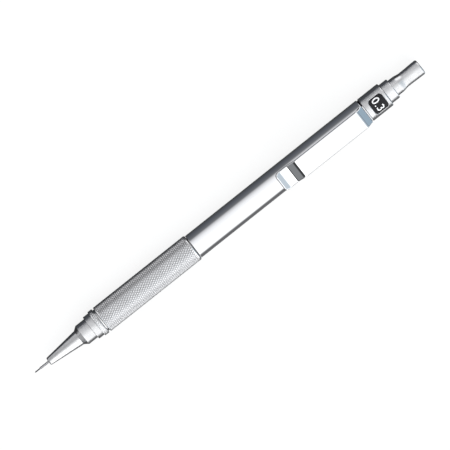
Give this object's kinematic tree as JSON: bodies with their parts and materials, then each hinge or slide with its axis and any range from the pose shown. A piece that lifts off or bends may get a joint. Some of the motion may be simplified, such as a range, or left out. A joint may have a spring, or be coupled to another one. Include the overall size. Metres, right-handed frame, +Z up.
{
  "type": "mechanical pencil",
  "caption": "Metal mechanical pencil with a knurled grip, polished barrel, pocket clip, push button and screw-off nose cone.",
  "frame": {"origin": "the middle of the bounding box, on the ground under the grip", "axes": "+X along the pencil's axis from the tip to the push button, +Z up, where the clip is, +Y sideways"},
  "size_m": [0.14, 0.0084, 0.0101],
  "materials": {
    "satin_metal": "fine turned satin plating",
    "knurled_metal": "fine diamond knurl, satin plated",
    "mirror_chrome": "mirror-polished plating",
    "sleeve_steel": "drawn steel",
    "spring_steel": "drawn spring wire",
    "brass": "machined brass",
    "graphite": "polymer graphite lead",
    "black_rubber": "matt rubber",
    "magazine_plastic": "satin moulded tube",
    "eraser_rubber": "matt white eraser",
    "label_black": "gloss black plate with a plain white lead size"
  },
  "bodies": {
    "barrel": {"grip": "knurled_metal", "barrel_tube": "mirror_chrome", "barrel_joint": "brass", "core_sleeve": "brass", "spacer_ring": "satin_metal", "cap_ring": "satin_metal", "size_label": "label_black", "end_collar": "satin_metal", "clip_ring": "mirror_chrome", "spring_seat": "spring_steel", "clutch_spring": "spring_steel"},
    "plunger": {"lead_tube": "magazine_plastic", "chuck_joint": "brass", "chuck": "brass", "spare_lead_1": "graphite", "spare_lead_2": "graphite", "spare_lead_3": "graphite"},
    "clutch": {"clutch_ring": "brass"},
    "lead": {"writing_lead": "graphite"},
    "button": {"push_button": "satin_metal"},
    "eraser": {"eraser": "eraser_rubber", "eraser_holder": "sleeve_steel"},
    "tip": {"lead_sleeve": "sleeve_steel", "lead_retainer": "black_rubber"},
    "nose": {"nose_cone": "satin_metal"},
    "clip": {"clip": "mirror_chrome"}
  },
  "joints": [
    {"name": "button_press", "type": "slide", "parent": "barrel", "child": "plunger", "axis": [-1, 0, 0], "range_m": [0, 0.003], "stiffness_N_per_m": 600, "deforming": ["clutch_spring"]},
    {"name": "clutch_ring_slide", "type": "slide", "parent": "barrel", "child": "clutch", "axis": [-1, 0, 0], "range_m": [0, 0.0006]},
    {"name": "lead_feed", "type": "slide", "parent": "clutch", "child": "lead", "axis": [-1, 0, 0], "range_m": [-0.0019, 0.008]},
    {"name": "cap_pull", "type": "slide", "parent": "plunger", "child": "button", "axis": [1, 0, 0], "range_m": [0, 0.012]},
    {"name": "eraser_pull", "type": "slide", "parent": "plunger", "child": "eraser", "axis": [1, 0, 0], "range_m": [0, 0.006]},
    {"name": "nose_advance", "type": "slide", "parent": "barrel", "child": "tip", "axis": [-1, 0, 0], "range_m": [0, 0.0054]},
    {"name": "nose_turn", "type": "hinge", "parent": "tip", "child": "nose", "pos_m": [-0.055, 0, 0.0042], "axis": [-1, 0, 0], "range_deg": [0, 3240.01]},
    {"name": "clip_flex", "type": "hinge", "parent": "barrel", "child": "clip", "pos_m": [0.049, 0, 0.0085], "axis": [0, 1, 0], "range_deg": [0, 3], "stiffness_Nm_per_rad": 1}
  ],
  "couplings": [
    {"joint": "clutch_ring_slide", "follows": "button_press", "ratio": 0.2},
    {"joint": "eraser_pull", "follows": "cap_pull", "ratio": 0.5},
    {"joint": "nose_turn", "follows": "nose_advance", "rad_per_m": 10472}
  ]
}
